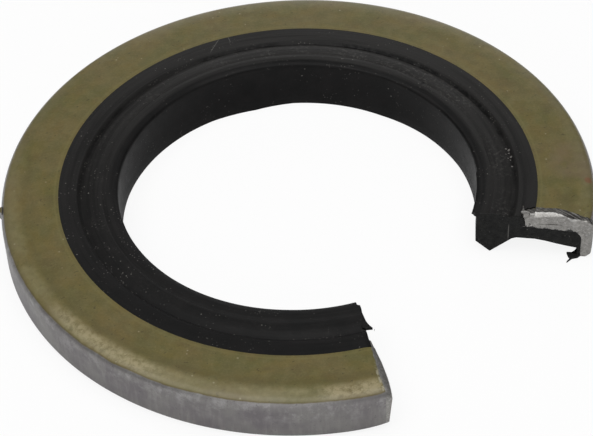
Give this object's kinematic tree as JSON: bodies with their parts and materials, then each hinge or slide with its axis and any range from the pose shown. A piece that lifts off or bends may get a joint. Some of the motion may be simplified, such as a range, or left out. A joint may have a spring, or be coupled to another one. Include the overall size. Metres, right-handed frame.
{
  "type": "sectioned metal-cased rubber shaft seal",
  "caption": "Ring seal with an L-section steel case and a bonded rubber sealing lip, cut open over a sector so that its section shows.",
  "frame": {"origin": "on the shaft axis, in the plane of the bottom rim", "axes": "+Z along the shaft axis, out of the flange; the sector cut out of the ring lies between +X and -Y"},
  "size_m": [0.052, 0.052, 0.0044],
  "materials": {
    "case_steel": "pressed steel with an olive bonding varnish on the flange, ground bare and satin on the outside wall, bright where it is cut",
    "seal_rubber": "black moulded nitrile rubber, satin, dusty at the bore edge, rougher where it is cut"
  },
  "bodies": {
    "root": {"steel_case": "case_steel", "rubber_lip_ring": "seal_rubber"}
  },
  "joints": []
}
